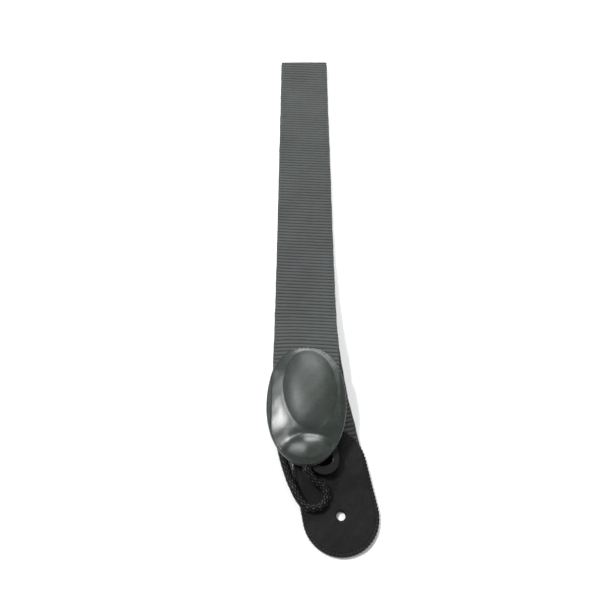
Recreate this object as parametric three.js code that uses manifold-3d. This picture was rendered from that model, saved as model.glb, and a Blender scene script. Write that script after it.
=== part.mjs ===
// Neck strap for a saxophone, folded in half and lying flat.
// A ribbed nylon band with a leather tab at each end; a braided cord sewn into one tab carries
// a sliding adjuster and a swivelling snap hook, which are stored between the two halves.
// Millimetres, +Z up, +Y from the tabs towards the fold, z = 0 is the surface it lies on.
import * as THREE from "three";
import { mergeVertices } from "three/addons/utils/BufferGeometryUtils.js";
import Module from "manifold-3d";

const wasm = await Module();
wasm.setup();

// ---- driving dimensions (mm) ---------------------------------------------------------------
const ORIGIN = [11.25, 244.7]; // drafting point that becomes x = 0, y = 0 (middle of the footprint)
const WEB_W = 38; // band width
const WEB_T = 1.5; // band thickness
const LEATHER_LINING = 1.1; // lining leather thickness
const LEATHER_FACE = 1.2; // face leather thickness
const SKIN = 0.1; // air between layers that lie on each other

const FOLD_Y = 435; // centre of the fold's loop
const FOLD_Z = 3.4;
const FOLD_R = 3.4; // outer radius of the loop
const FRONT_X = 3.4; // centre line of the upper half

const BACK_HOLE = [21.3, 71]; // punched hole in the lower tab, centre of its round end
const BACK_HOLE_D = 4.8;
const BACK_TAB_R = 20; // round end radius and half width
const BACK_TAB_LEN = 68; // end to end
const BACK_SLOPE = 0.194; // how far the lower half leans, mm per mm
const BACK_BEND = [119, 209]; // the lean is taken up between these stations
const BACK_WEB_END = 86.5; // the band's cut end inside the lower tab

const FRONT_TAB = { y: 128, a: 22.2, top: 34.4, bottom: 33.8 }; // oval: centre, half width, half lengths
const FRONT_WEB_END = 116; // the band's cut end inside the upper tab

const CORD_D = 4.6;
const SEWN_T = 0.6; // the cord's end is flattened to this between the leathers

const ADJ = { x: 5.8, y: 150.5, z: 5.9, len: 28.6, wid: 11, thick: 7.6, pitch: 18.4, bore: 5.4 };

const EYE = [7.7, 129.0, 8.8]; // centre of the hook's eye
const HOOK_END = [14.2, 91.1, 7.2]; // outer end of the hook's bow
const EYE_R = 4.65,
  EYE_HOLE_R = 2.7,
  EYE_W = 3.6;
const SHANK_R = 2.0,
  SHANK_BORE_R = 2.08;
const HOOK_T = 5.6; // thickness of the hook's body
const BOW_U = 31,
  BOW_R = 8,
  BOW_IN_R = 4; // bow of the hook
const GATE_PIVOT = [15.2, -5.4];
const GATE_PIN_R = 0.85,
  GATE_PIN_BORE = 0.93;

// ---- helpers --------------------------------------------------------------------------------
function solid(geometry) {
  let g = geometry.index ? geometry.toNonIndexed() : geometry.clone();
  const p = new THREE.BufferGeometry().setAttribute("position", g.getAttribute("position"));
  const m = mergeVertices(p, 1e-4);
  return new wasm.Manifold(
    new wasm.Mesh({
      numProp: 3,
      vertProperties: new Float32Array(m.attributes.position.array),
      triVerts: new Uint32Array(m.index.array),
    }),
  );
}
function geometryOf(man) {
  const m = man.getMesh(),
    n = m.numProp,
    v = new Float32Array(m.numVert * 3);
  for (let i = 0; i < m.numVert; i++) v.set(m.vertProperties.subarray(i * n, i * n + 3), i * 3);
  const g = new THREE.BufferGeometry()
    .setAttribute("position", new THREE.BufferAttribute(v, 3))
    .setIndex(new THREE.BufferAttribute(new Uint32Array(m.triVerts), 1));
  g.computeVertexNormals();
  return g;
}
// smooth curve through [station, height] knots (monotone cubic)
function ramp(knots) {
  const n = knots.length,
    d = [],
    m = [];
  for (let i = 0; i < n - 1; i++)
    d.push((knots[i + 1][1] - knots[i][1]) / (knots[i + 1][0] - knots[i][0]));
  m.push(d[0]);
  for (let i = 1; i < n - 1; i++) m.push(d[i - 1] * d[i] <= 0 ? 0 : (2 * d[i - 1] * d[i]) / (d[i - 1] + d[i]));
  m.push(d[n - 2]);
  return (t) => {
    if (t <= knots[0][0]) return knots[0][1];
    if (t >= knots[n - 1][0]) return knots[n - 1][1];
    let i = 0;
    while (t > knots[i + 1][0]) i++;
    const h = knots[i + 1][0] - knots[i][0],
      s = (t - knots[i][0]) / h;
    return (
      knots[i][1] * (1 + 2 * s) * (1 - s) * (1 - s) +
      m[i] * h * s * (1 - s) * (1 - s) +
      knots[i + 1][1] * s * s * (3 - 2 * s) +
      m[i + 1] * h * s * s * (s - 1)
    );
  };
}
// a sheet between two stations, its centre line, under side and thickness given by functions
function sheet(y0, y1, half, stepsY, stepsX, centre, under, thick) {
  const g = new THREE.BoxGeometry(2 * half, y1 - y0, 1, stepsX, stepsY, 1);
  const p = g.getAttribute("position");
  for (let i = 0; i < p.count; i++) {
    const s = p.getX(i),
      y = p.getY(i) + (y0 + y1) / 2,
      top = p.getZ(i) > 0;
    p.setXYZ(i, s + centre(y), y, under(s + centre(y), y) + (top ? thick : 0));
  }
  return g;
}
function outlineSolid(points, z0, z1) {
  const g = new THREE.ExtrudeGeometry(new THREE.Shape(points.map((q) => new THREE.Vector2(q[0], q[1]))), {
    depth: z1 - z0,
    bevelEnabled: false,
    curveSegments: 12,
  });
  g.translate(0, 0, z0);
  return solid(g);
}
function tube(points, r, sides, steps, closed = false) {
  const s = new THREE.Shape();
  for (let i = 0; i < sides; i++) {
    const a = (i / sides) * 2 * Math.PI;
    if (i) s.lineTo(r * Math.cos(a), r * Math.sin(a));
    else s.moveTo(r, 0);
  }
  const c = new THREE.CatmullRomCurve3(points.map((q) => new THREE.Vector3(...q)), closed, "centripetal");
  return new THREE.ExtrudeGeometry(s, { steps, extrudePath: c, bevelEnabled: false });
}

// the same outline with a point at least every 2.5 mm
function dense(points) {
  const out = [];
  points.forEach((q, i) => {
    out.push(q);
    const r = points[i + 1];
    if (!r) return;
    const n = Math.floor(Math.hypot(r[0] - q[0], r[1] - q[1]) / 2.5);
    for (let k = 1; k <= n; k++) out.push([q[0] + ((r[0] - q[0]) * k) / (n + 1), q[1] + ((r[1] - q[1]) * k) / (n + 1)]);
  });
  return out;
}

// ---- where the layers run -------------------------------------------------------------------
const bendK = (BACK_HOLE[0] - BACK_SLOPE * (BACK_BEND[0] - BACK_HOLE[1]) - FRONT_X) / (BACK_BEND[1] - BACK_BEND[0]) ** 2;
function backX(y) {
  if (y <= BACK_BEND[0]) return BACK_HOLE[0] - BACK_SLOPE * (y - BACK_HOLE[1]);
  if (y >= BACK_BEND[1]) return FRONT_X;
  return FRONT_X + bendK * (BACK_BEND[1] - y) ** 2;
}
// under side of the lower band: on the lining inside the tab, on the ground beyond it
const backRise = ramp([
  [80, LEATHER_LINING + SKIN],
  [118, LEATHER_LINING + SKIN],
  [134, 0],
  [444, 0],
]);
// under side of the upper tab and band, over the stored hook, adjuster and cord
const frontRise = ramp([
  [88, 10.8],
  [100, 11.6],
  [108, 12.4],
  [114, 13.3],
  [122, 14.0],
  [132, 14.3],
  [146, 14.0],
  [156, 13.1],
  [165, 11.8],
  [178, 9.2],
  [190, 7.2],
  [205, 5.3],
  [222, 3.6],
  [240, 2.4],
  [256, 1.8],
  [398, 1.8],
  [414, 2.7],
  [426, 4.4],
  [435, 5.3],
]);
const sideFade = ramp([
  [86, 1],
  [150, 1],
  [215, 0],
  [444, 0],
]);
function frontUnder(x, y) {
  const s = x - FRONT_X;
  const droop = s < 0 ? 4.2 * Math.pow(-s / 22, 2.2) : 0.9 * Math.pow(s / 22, 3);
  return frontRise(y) - droop * sideFade(y);
}
// how far the upper tab's face stands off its lining: the band lies between them
const frontStack = ramp([
  [88, LEATHER_LINING + 2 * SKIN + SEWN_T],
  [107, LEATHER_LINING + 2 * SKIN + SEWN_T],
  [115, LEATHER_LINING + 2 * SKIN + WEB_T],
  [170, LEATHER_LINING + 2 * SKIN + WEB_T],
]);
const backStack = ramp([
  [48, LEATHER_LINING + SKIN],
  [80, LEATHER_LINING + SKIN],
  [86, LEATHER_LINING + 2 * SKIN + WEB_T],
  [140, LEATHER_LINING + 2 * SKIN + WEB_T],
]);

// ---- materials ------------------------------------------------------------------------------
const mat = (color, roughness, metalness = 0) => new THREE.MeshStandardMaterial({ color, roughness, metalness });
const webMat = () => mat(0x2b2d2e, 0.85);
const leatherMat = () => mat(0x1b1c1b, 0.5);
const threadMat = () => mat(0x141414, 0.7);
const cordMat = () => mat(0x121313, 0.75);
const plasticMat = () => mat(0x0e0f10, 0.3);
const steelMat = () => mat(0x9a9da0, 0.3, 1);

const root = new THREE.Group();
const strap = new THREE.Group(); // drafted with its own stations, then moved so that the footprint is centred
strap.position.set(-ORIGIN[0], -ORIGIN[1], 0);
root.add(strap);
function put(name, geometry, material, group = strap) {
  const m = new THREE.Mesh(geometry, material);
  m.name = name;
  group.add(m);
  return m;
}

// ---- band -----------------------------------------------------------------------------------
put("back_webbing", sheet(BACK_WEB_END, FOLD_Y - 0.1, WEB_W / 2, 70, 2, backX, (x, y) => backRise(y), WEB_T), webMat());
put(
  "front_webbing",
  sheet(FRONT_WEB_END, FOLD_Y - 0.1, WEB_W / 2, 80, 8, () => FRONT_X, (x, y) => frontUnder(x, y) + (LEATHER_LINING + SKIN) * tuck(y), WEB_T),
  webMat(),
);
// inside the upper tab the band lies on the lining; beyond the tab it settles to the under side
function tuck(y) {
  return ramp([
    [100, 1],
    [168, 1],
    [188, 0],
    [444, 0],
  ])(y);
}
{
  // the loop where the band turns over
  const s = new THREE.Shape();
  const n = 14;
  const ro = FOLD_R,
    ri = FOLD_R - WEB_T;
  for (let i = 0; i <= n; i++) {
    const a = -Math.PI / 2 + (Math.PI * i) / n;
    const q = [ro * Math.cos(a), ro * Math.sin(a)];
    if (i) s.lineTo(...q);
    else s.moveTo(...q);
  }
  for (let i = n; i >= 0; i--) {
    const a = -Math.PI / 2 + (Math.PI * i) / n;
    s.lineTo(ri * Math.cos(a), ri * Math.sin(a));
  }
  const g = new THREE.ExtrudeGeometry(s, { depth: WEB_W, bevelEnabled: false });
  // the shape's x is along the strap and its y is up
  g.applyMatrix4(new THREE.Matrix4().makeBasis(new THREE.Vector3(0, 1, 0), new THREE.Vector3(0, 0, 1), new THREE.Vector3(1, 0, 0)));
  g.translate(FRONT_X - WEB_W / 2, FOLD_Y, FOLD_Z);
  put("fold_webbing", g, webMat());
}

// ---- lower tab ------------------------------------------------------------------------------
const lean = Math.atan(BACK_SLOPE);
function backTabOutline(grow = 0) {
  // round lower end on the hole, straight sides, arched upper end
  const pts = [];
  const r = BACK_TAB_R + grow;
  const at = (s, t) => {
    const c = Math.cos(lean),
      n = Math.sin(lean);
    return [BACK_HOLE[0] + s * c - t * n, BACK_HOLE[1] + s * n + t * c];
  };
  for (let i = 0; i <= 20; i++) {
    const a = Math.PI + (Math.PI * i) / 20;
    pts.push(at(r * Math.cos(a), r * Math.sin(a)));
  }
  const straight = BACK_TAB_LEN - BACK_TAB_R - 22;
  for (let i = 0; i <= 16; i++) {
    const a = (Math.PI * i) / 16;
    pts.push(at(r * Math.cos(a), straight + (22 + grow) * Math.sin(a)));
  }
  return pts;
}
{
  const hole = solid(new THREE.CylinderGeometry(BACK_HOLE_D / 2, BACK_HOLE_D / 2, 40, 28).rotateX(Math.PI / 2).translate(BACK_HOLE[0], BACK_HOLE[1], 0));
  const cut = outlineSolid(backTabOutline(), -5, 30);
  const lining = solid(sheet(46, 134, 30, 2, 2, () => 15, () => 0, LEATHER_LINING));
  put("back_tab_lining", geometryOf(lining.intersect(cut).subtract(hole)), leatherMat());
  const face = solid(sheet(46, 134, 30, 46, 2, () => 15, (x, y) => backStack(y), LEATHER_FACE));
  put("back_tab_face", geometryOf(face.intersect(cut).subtract(hole)), leatherMat());
  const path = dense(backTabOutline(-2.6)).map((q) => [q[0], q[1], backStack(q[1]) + LEATHER_FACE + (q[1] > 77 && q[1] < 89 ? 0.54 : 0.34)]);
  put("back_tab_stitching", tube(path, 0.3, 6, 84), threadMat());
}

// ---- upper tab ------------------------------------------------------------------------------
function frontTabOutline(grow = 0, n = 56) {
  const pts = [];
  for (let i = 0; i < n; i++) {
    const a = -Math.PI / 2 + ((i + 0.5) / n) * 2 * Math.PI;
    const up = Math.sin(a) > 0,
      e = up ? 2 / 2.3 : 1;
    const c = Math.cos(a),
      s = Math.sin(a);
    pts.push([
      FRONT_X + (FRONT_TAB.a + grow) * Math.sign(c) * Math.pow(Math.abs(c), e),
      FRONT_TAB.y + ((up ? FRONT_TAB.top : FRONT_TAB.bottom) + grow) * Math.sign(s) * Math.pow(Math.abs(s), e),
    ]);
  }
  return pts;
}
{
  const cut = outlineSolid(frontTabOutline(), -5, 40);
  const lining = solid(sheet(88, 170, 25, 40, 14, () => FRONT_X, frontUnder, LEATHER_LINING));
  put("front_tab_lining", geometryOf(lining.intersect(cut)), leatherMat());
  const face = solid(sheet(88, 170, 25, 40, 14, () => FRONT_X, (x, y) => frontUnder(x, y) + frontStack(y), LEATHER_FACE));
  put("front_tab_face", geometryOf(face.intersect(cut)), leatherMat());
  const path = frontTabOutline(-2.6, 48).map((q) => [q[0], q[1], frontUnder(q[0], q[1]) + frontStack(q[1]) + LEATHER_FACE + 0.6]);
  put("front_tab_stitching", tube(path, 0.3, 6, 84), threadMat());
}

// ---- cord -----------------------------------------------------------------------------------
const exitZ = frontUnder(FRONT_X, 94.2) + LEATHER_LINING;
const ROUTE = [
  [3.4, 93.1, exitZ],
  [4.5, 90.9, exitZ - 0.8],
  [6.5, 88.4, 9.6],
  [9.1, 86.7, 7.9],
  [11.5, 85.3, 6.7],
  [13.3, 82.8, 5.9],
  [13.7, 80.2, 5.2],
  [12.7, 77.5, 4.8],
  [10.3, 75.2, 4.8],
  [7.5, 74.4, 4.8],
  [4.7, 74.6, 4.8],
  [2.3, 75.8, 4.9],
  [0.3, 78.1, 5.1],
  [-1.7, 81.2, 5.5],
  [-3.5, 84.9, 5.7],
  [-5.3, 89.1, 4.6],
  [-6.7, 93.5, 3.3],
  [-8.2, 98.1, 2.6],
  [-10.4, 106.5, 2.4],
  [-12.3, 115.0, 2.4],
  [-13.5, 123.5, 2.4],
  [-14.1, 132.0, 2.5],
  [-14.0, 142.0, 2.9],
  [-13.4, 153.0, 3.9],
  [-12.6, 164.5, 4.2],
  [-12.0, 174.5, 4.2],
  [-9.8, 182.4, 4.1],
  [-4.9, 187.9, 4.1],
  [1.5, 190.0, 4.1],
  [7.9, 187.9, 4.2],
  [13.0, 182.4, 4.5],
  [15.0, 174.8, 5.3],
  [15.0, 168.4, 5.85],
  [15.0, 162.0, 5.9],
  [15.0, 154.0, 5.9],
  [15.0, 146.0, 5.9],
  [15.0, 141.0, 6.2],
  ...[
    [-6, 6.9],
    [-28, 7.8],
    [-52, 8.5],
    [-77.5, 8.8],
    [-103, 8.6],
    [-128, 8.0],
    [-152, 7.3],
    [-174, 6.7],
  ].map(([a, z]) => [ADJ.x + 9.2 * Math.cos((a * Math.PI) / 180), 138 + 9.2 * Math.sin((a * Math.PI) / 180), z]),
  [-3.4, 141.0, 6.2],
  [-3.4, 146.0, 5.9],
  [-3.4, 154.0, 5.9],
  [-3.4, 162.0, 5.9],
  [-3.4, 169.2, 5.9],
];
put("cord", tube(ROUTE, CORD_D / 2, 10, 80), cordMat());
{
  // overhand stopper knot and the sealed tail past it
  const g = new THREE.SphereGeometry(4.9, 16, 10);
  g.scale(1.05, 0.95, 0.78);
  g.translate(-3.4, 174.2, 5.9);
  put("cord_end_knot", g, cordMat());
  const t = new THREE.CylinderGeometry(2.1, 2.3, 3.6, 10);
  t.translate(-3.4, 181.0, 5.7);
  put("cord_tip", t, cordMat());
  // flattened cord end sewn between the leathers of the upper tab
  put("cord_sewn_end", sheet(95.8, 105.2, 3.2, 6, 2, () => FRONT_X, (x, y) => frontUnder(x, y) + LEATHER_LINING + SKIN, SEWN_T), cordMat());
}

// ---- adjuster -------------------------------------------------------------------------------
{
  const s = new THREE.Shape();
  const hx = ADJ.len / 2,
    hz = ADJ.thick / 2,
    r = hz;
  s.moveTo(-hx + r, -hz);
  s.lineTo(hx - r, -hz);
  s.absarc(hx - r, 0, r, -Math.PI / 2, Math.PI / 2, false);
  s.lineTo(-hx + r, hz);
  s.absarc(-hx + r, 0, r, Math.PI / 2, (3 * Math.PI) / 2, false);
  const body = new THREE.ExtrudeGeometry(s, { depth: ADJ.wid, bevelEnabled: false, curveSegments: 10 });
  body.translate(0, 0, -ADJ.wid / 2).rotateX(Math.PI / 2).translate(ADJ.x, ADJ.y, ADJ.z);
  let m = solid(body);
  for (const side of [-1, 1])
    m = m.subtract(
      solid(new THREE.CylinderGeometry(ADJ.bore / 2, ADJ.bore / 2, ADJ.wid + 4, 28).translate(ADJ.x + (side * ADJ.pitch) / 2, ADJ.y, ADJ.z)),
    );
  put("adjuster", geometryOf(m), plasticMat());
}

// ---- snap hook: u along the hook from the eye, v across, w through its thickness ------------------
const hook = new THREE.Group();
{
  const e = new THREE.Vector3(...EYE);
  const u = new THREE.Vector3(...HOOK_END).sub(e).normalize();
  const w = new THREE.Vector3(0, 0, 1).addScaledVector(u, -u.z).normalize();
  const v = new THREE.Vector3().crossVectors(w, u);
  hook.position.copy(e);
  hook.quaternion.setFromRotationMatrix(new THREE.Matrix4().makeBasis(u, v, w));
}
strap.add(hook);
{
  // eye: a ring standing across the cord, on a shank that turns in the neck
  const ring = solid(new THREE.CylinderGeometry(EYE_R, EYE_R, EYE_W, 32));
  const bore = solid(new THREE.CylinderGeometry(EYE_HOLE_R, EYE_HOLE_R, EYE_W + 4, 28));
  const shank = solid(new THREE.CylinderGeometry(SHANK_R, SHANK_R, 8.0, 28).rotateZ(Math.PI / 2).translate(3.6 + 4.0, 0, 0));
  put("swivel_eye", geometryOf(ring.add(shank).subtract(bore)), plasticMat(), hook);
  // push-on washer that keeps the shank in the neck
  const washer = solid(new THREE.CylinderGeometry(2.75, 2.75, 1.0, 28).rotateZ(Math.PI / 2).translate(10.6, 0, 0));
  const wbore = solid(new THREE.CylinderGeometry(SHANK_R + 0.15, SHANK_R + 0.15, 4, 28).rotateZ(Math.PI / 2).translate(10.6, 0, 0));
  put("swivel_washer", geometryOf(washer.subtract(wbore)), steelMat(), hook);

  // hook body: neck, spine, bow and nose
  const o = [];
  o.push([5.4, -3.2], [5.4, 3.2], [8.0, 5.0], [13.5, 8.0]);
  o.push([BOW_U, BOW_R]);
  for (let i = 1; i <= 18; i++) {
    const a = Math.PI / 2 - (Math.PI * i) / 18;
    o.push([BOW_U + BOW_R * Math.cos(a), BOW_R * Math.sin(a)]);
  }
  o.push([29.0, -8.0], [27.6, -7.2], [27.8, -5.3], [29.0, -4.9]);
  o.push([BOW_U, -4.9]);
  // inner side of the bow
  for (let i = 1; i <= 14; i++) {
    const a = -Math.PI / 2 + (Math.PI * i) / 14;
    const c = [BOW_U - 0.2 + (BOW_IN_R - 0.3) * Math.cos(a), -0.2 + (BOW_IN_R + 0.7) * Math.sin(a)];
    o.push(c);
  }
  o.push([18.5, 4.5], [17.2, 3.6], [16.6, 2.0], [16.6, -1.2], [17.4, -2.4], [17.4, -7.8], [13.2, -7.8], [8.0, -5.0]);
  let body = outlineSolid(o, -HOOK_T / 2, HOOK_T / 2);
  const neck = solid(new THREE.CylinderGeometry(3.5, 3.5, 8.2, 28).rotateZ(Math.PI / 2).translate(5.4 + 4.1, 0, 0));
  body = body.add(neck);
  body = body.subtract(solid(new THREE.CylinderGeometry(SHANK_BORE_R, SHANK_BORE_R, 8, 32).rotateZ(Math.PI / 2).translate(6, 0, 0)));
  // pocket for the washer, open on the upper face so that it can be fitted
  body = body.subtract(solid(new THREE.CylinderGeometry(3.0, 3.0, 3.6, 28).rotateZ(Math.PI / 2).translate(11.0, 0, 0)));
  body = body.subtract(solid(new THREE.BoxGeometry(3.6, 6.0, 8).translate(11.0, 0, 4.0)));
  // slot for the gate's tongue and its spring
  body = body.subtract(solid(new THREE.BoxGeometry(8.0, 10.2, 2.8).translate(14.2 + 0.9, -5.6, 0)));
  body = body.subtract(
    solid(new THREE.CylinderGeometry(GATE_PIN_BORE, GATE_PIN_BORE, 20, 24).rotateX(Math.PI / 2).translate(GATE_PIVOT[0], GATE_PIVOT[1], 0)),
  );
  put("hook_body", geometryOf(body), plasticMat(), hook);

  // gate: tongue in the slot, full-thickness blade beyond the neck, tip behind the nose
  const tongue = outlineSolid([[13.3, -6.9], [14.2, -7.5], [19.4, -7.5], [19.4, -3.5], [14.0, -3.5], [13.3, -4.1]], -1.2, 1.2);
  const blade = outlineSolid([[17.8, -7.6], [26.6, -7.6], [28.0, -4.6], [31.6, -4.5], [31.8, -2.6], [28.0, -2.7], [24.0, -3.3], [18.7, -3.3], [17.8, -4.6]], -HOOK_T / 2 + 0.2, HOOK_T / 2 - 0.2);
  const gateBore = solid(new THREE.CylinderGeometry(GATE_PIN_BORE, GATE_PIN_BORE, 20, 24).rotateX(Math.PI / 2).translate(GATE_PIVOT[0], GATE_PIVOT[1], 0));
  put("gate", geometryOf(tongue.add(blade).subtract(gateBore)), plasticMat(), hook);
  put(
    "gate_pin",
    new THREE.CylinderGeometry(GATE_PIN_R, GATE_PIN_R, HOOK_T - 0.3, 24).rotateX(Math.PI / 2).translate(GATE_PIVOT[0], GATE_PIVOT[1], 0),
    steelMat(),
    hook,
  );
  // leaf spring that pushes the gate shut
  put("gate_spring", geometryOf(outlineSolid([[12.0, -3.1], [12.0, -2.7], [15.5, -2.3], [17.4, -2.9], [17.4, -3.25], [15.5, -2.7]], -1.0, 1.0)), steelMat(), hook);
}

export default root;
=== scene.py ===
import math
import random

import bmesh
import bpy
import numpy as np
from mathutils import Matrix, Vector


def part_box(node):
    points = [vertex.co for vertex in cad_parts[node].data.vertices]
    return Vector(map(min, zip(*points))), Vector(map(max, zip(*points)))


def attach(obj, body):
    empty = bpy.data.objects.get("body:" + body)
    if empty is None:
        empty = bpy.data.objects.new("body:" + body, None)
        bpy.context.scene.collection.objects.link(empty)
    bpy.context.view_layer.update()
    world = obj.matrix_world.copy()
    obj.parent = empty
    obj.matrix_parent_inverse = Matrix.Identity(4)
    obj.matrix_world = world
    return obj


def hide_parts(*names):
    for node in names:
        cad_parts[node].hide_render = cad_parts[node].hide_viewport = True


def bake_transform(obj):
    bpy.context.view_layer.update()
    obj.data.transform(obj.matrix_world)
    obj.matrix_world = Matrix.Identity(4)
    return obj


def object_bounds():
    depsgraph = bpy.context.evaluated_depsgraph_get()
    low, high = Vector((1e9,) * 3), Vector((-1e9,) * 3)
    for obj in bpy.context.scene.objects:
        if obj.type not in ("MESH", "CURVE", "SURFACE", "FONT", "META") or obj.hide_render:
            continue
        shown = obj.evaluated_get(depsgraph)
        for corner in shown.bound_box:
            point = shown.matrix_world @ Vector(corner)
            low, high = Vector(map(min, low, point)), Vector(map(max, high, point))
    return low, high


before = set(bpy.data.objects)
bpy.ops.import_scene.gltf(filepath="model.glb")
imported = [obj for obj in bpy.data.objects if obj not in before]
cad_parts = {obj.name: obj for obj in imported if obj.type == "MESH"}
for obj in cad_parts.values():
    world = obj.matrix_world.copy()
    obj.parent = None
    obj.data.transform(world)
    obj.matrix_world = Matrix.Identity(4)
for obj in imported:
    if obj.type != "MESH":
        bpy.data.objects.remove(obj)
CAD_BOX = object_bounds()
random.seed(7)
rng = np.random.default_rng(7)
MM = 0.001
OX, OY = 11.25, 244.7  # drafting stations to the row frame, mm

# ------------------------------------------------------------------ camera
cam_data = bpy.data.cameras.new("Camera")
cam = bpy.data.objects.new("Camera", cam_data)
bpy.context.scene.collection.objects.link(cam)
cam_data.sensor_width = 36.0
cam_data.lens = 36.0
cam_data.clip_start = 0.01
cam.location = (-OX * MM, -OY * MM, 0.32644)
cam.rotation_euler = (math.radians(32.14), 0.0, 0.0)
bpy.context.scene.camera = cam


# ------------------------------------------------------------------ layers (mm, drafting stations)
def ramp(knots):
    xs = [k[0] for k in knots]
    ys = [k[1] for k in knots]
    n = len(xs)
    d = [(ys[i + 1] - ys[i]) / (xs[i + 1] - xs[i]) for i in range(n - 1)]
    m = [d[0]] + [0 if d[i - 1] * d[i] <= 0 else 2 * d[i - 1] * d[i] / (d[i - 1] + d[i]) for i in range(1, n - 1)] + [d[-1]]
    xs, ys, m = np.array(xs, float), np.array(ys, float), np.array(m, float)

    def f(t):
        t = np.clip(np.asarray(t, float), xs[0], xs[-1])
        i = np.clip(np.searchsorted(xs, t, side="right") - 1, 0, n - 2)
        h = xs[i + 1] - xs[i]
        s = (t - xs[i]) / h
        return ys[i] * (1 + 2 * s) * (1 - s) ** 2 + m[i] * h * s * (1 - s) ** 2 + ys[i + 1] * s * s * (3 - 2 * s) + m[i + 1] * h * s * s * (s - 1)

    return f


WEB_W, WEB_T, LINING, FACE, SKIN, SEWN = 38.0, 1.5, 1.1, 1.2, 0.1, 0.6
FOLD_Y, FOLD_Z, FOLD_R, FRONT_X = 435.0, 3.4, 3.4, 3.4
HOLE = (21.3, 71.0)
SLOPE, B0, B1 = 0.194, 119.0, 209.0
bend_k = (HOLE[0] - SLOPE * (B0 - HOLE[1]) - FRONT_X) / (B1 - B0) ** 2


def back_x(y):
    y = np.asarray(y, float)
    return np.where(y <= B0, HOLE[0] - SLOPE * (y - HOLE[1]), FRONT_X + bend_k * np.clip(B1 - y, 0, None) ** 2)


back_rise = ramp([(80, 1.2), (118, 1.2), (134, 0), (444, 0)])
front_rise = ramp([(88, 10.8), (100, 11.6), (108, 12.4), (114, 13.3), (122, 14.0), (132, 14.3), (146, 14.0), (156, 13.1), (165, 11.8), (178, 9.2),
                   (190, 7.2), (205, 5.3), (222, 3.6), (240, 2.4), (256, 1.8), (398, 1.8), (414, 2.7), (426, 4.4), (435, 5.3)])
side_fade = ramp([(86, 1), (150, 1), (215, 0), (444, 0)])
tuck = ramp([(100, 1), (168, 1), (188, 0), (444, 0)])
front_stack = ramp([(88, LINING + 2 * SKIN + SEWN), (107, LINING + 2 * SKIN + SEWN), (115, LINING + 2 * SKIN + WEB_T), (170, LINING + 2 * SKIN + WEB_T)])
back_stack = ramp([(48, LINING + SKIN), (80, LINING + SKIN), (86, LINING + 2 * SKIN + WEB_T), (140, LINING + 2 * SKIN + WEB_T)])


def front_under(x, y):
    s = np.asarray(x, float) - FRONT_X
    droop = np.where(s < 0, 4.2 * np.abs(s / 22) ** 2.2, 0.9 * np.abs(s / 22) ** 3)
    return front_rise(y) - droop * side_fade(y)


def smooth(a, b, t):
    t = np.clip((np.asarray(t, float) - a) / (b - a), 0, 1)
    return t * t * (3 - 2 * t)


# ------------------------------------------------------------------ mesh helpers
def to_row(p):
    p = np.asarray(p, float).reshape(-1, 3).copy()
    p[:, 0] -= OX
    p[:, 1] -= OY
    return p * MM


def make(name, verts_mm, faces, material=None, attrs=None, smooth_shade=True):
    me = bpy.data.meshes.new(name)
    me.from_pydata(to_row(verts_mm).tolist(), [], [tuple(int(i) for i in f) for f in faces])
    me.validate()
    me.update()
    if smooth_shade:
        me.polygons.foreach_set("use_smooth", [True] * len(me.polygons))
    for key, val in (attrs or {}).items():
        a = me.attributes.new(key, "FLOAT_VECTOR", "POINT")
        a.data.foreach_set("vector", np.asarray(val, np.float32).reshape(-1))
    o = bpy.data.objects.new(name, me)
    bpy.context.scene.collection.objects.link(o)
    if material:
        me.materials.append(material)
    return o


def ring_faces(rows, cols, close_cols=True):
    f = []
    n = cols if close_cols else cols - 1
    for i in range(rows - 1):
        for j in range(n):
            k = (j + 1) % cols
            f.append((i * cols + j, i * cols + k, (i + 1) * cols + k, (i + 1) * cols + j))
    return f


def catmull(points, step):
    """Centripetal Catmull-Rom through the points, resampled at equal steps."""
    P = [np.array(p, float) for p in points]
    P = [2 * P[0] - P[1]] + P + [2 * P[-1] - P[-2]]
    out = []
    for i in range(1, len(P) - 2):
        p0, p1, p2, p3 = P[i - 1 : i + 3]
        t0 = 0
        t1 = t0 + np.linalg.norm(p1 - p0) ** 0.5
        t2 = t1 + np.linalg.norm(p2 - p1) ** 0.5
        t3 = t2 + np.linalg.norm(p3 - p2) ** 0.5
        for t in np.linspace(t1, t2, 40, endpoint=False):
            a1 = (t1 - t) / (t1 - t0) * p0 + (t - t0) / (t1 - t0) * p1
            a2 = (t2 - t) / (t2 - t1) * p1 + (t - t1) / (t2 - t1) * p2
            a3 = (t3 - t) / (t3 - t2) * p2 + (t - t2) / (t3 - t2) * p3
            b1 = (t2 - t) / (t2 - t0) * a1 + (t - t0) / (t2 - t0) * a2
            b2 = (t3 - t) / (t3 - t1) * a2 + (t - t1) / (t3 - t1) * a3
            out.append((t2 - t) / (t2 - t1) * b1 + (t - t1) / (t2 - t1) * b2)
    out.append(P[-2])
    out = np.array(out)
    s = np.concatenate([[0], np.cumsum(np.linalg.norm(np.diff(out, axis=0), axis=1))])
    n = int(round(s[-1] / step))
    q = np.linspace(0, s[-1], n + 1)
    return np.stack([np.interp(q, s, out[:, k]) for k in range(3)], 1), s[-1]


def frames(c):
    t = np.gradient(c, axis=0)
    t /= np.linalg.norm(t, axis=1)[:, None]
    n = np.zeros_like(c)
    v = np.cross(t[0], [0, 0, 1.0])
    if np.linalg.norm(v) < 1e-3:
        v = np.cross(t[0], [1.0, 0, 0])
    n[0] = v / np.linalg.norm(v)
    for i in range(1, len(c)):
        v = n[i - 1] - t[i] * np.dot(n[i - 1], t[i])
        n[i] = v / np.linalg.norm(v)
    return t, n, np.cross(t, n)


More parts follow.
